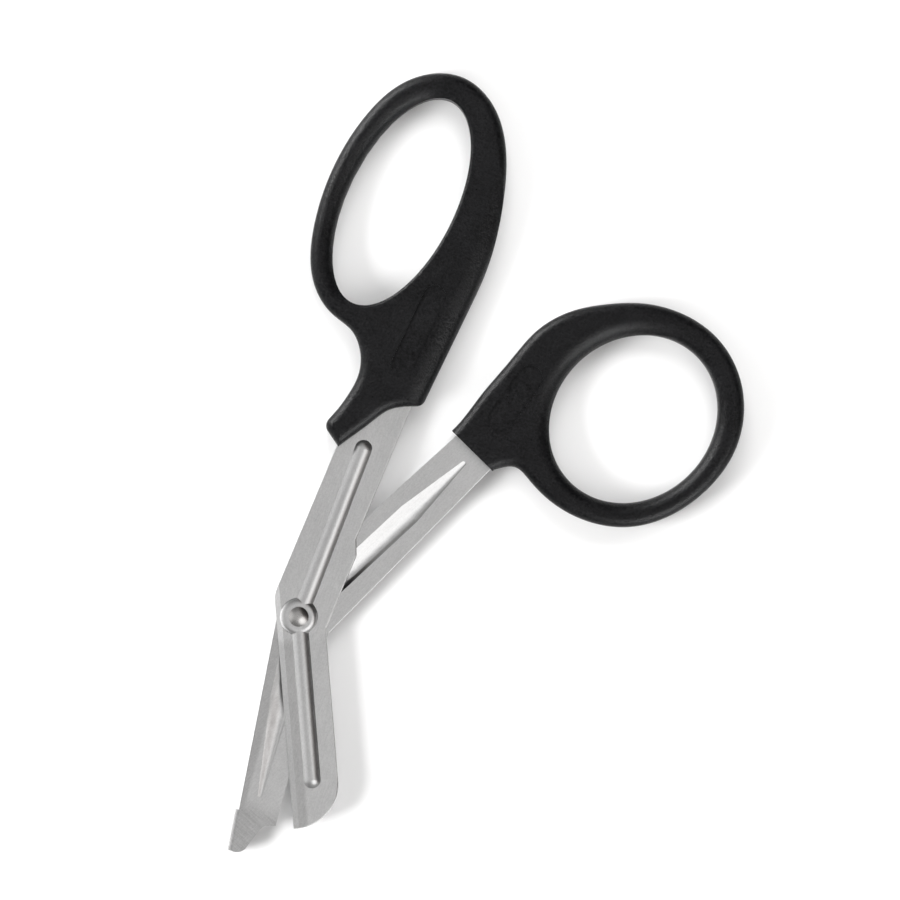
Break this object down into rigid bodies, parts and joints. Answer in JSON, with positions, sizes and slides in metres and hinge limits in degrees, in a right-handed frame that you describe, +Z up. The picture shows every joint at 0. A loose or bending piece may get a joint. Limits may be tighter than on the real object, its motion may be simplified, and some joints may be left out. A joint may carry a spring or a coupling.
{
  "type": "bandage scissors",
  "caption": "Angled bandage scissors with pressed steel blades, a blunt foot on the lower blade, a pivot rivet, a long finger bow and a round thumb ring.",
  "frame": {"origin": "middle of the scissors' footprint, on the surface they lie on", "axes": "+Y along the upper shank towards the finger bow, +Z up through both blades, from the lower to the upper"},
  "size_m": [0.1136, 0.1902, 0.009],
  "materials": {
    "blade_steel": "satin stainless steel, finely blasted, bright on the rib crests",
    "rivet_steel": "smooth stainless steel",
    "handle_plastic": "black moulded plastic with a fine satin grain"
  },
  "bodies": {
    "finger_half": {"upper_blade": "blade_steel", "finger_handle": "handle_plastic", "pivot_rivet": "rivet_steel", "rivet_washer": "rivet_steel"},
    "thumb_half": {"lower_blade": "blade_steel", "thumb_handle": "handle_plastic"}
  },
  "joints": [
    {"name": "pivot", "type": "hinge", "parent": "finger_half", "child": "thumb_half", "pos_m": [-0.02309, -0.03754, 0.0045], "axis": [0, 0, 1], "range_deg": [-50, 9]}
  ]
}
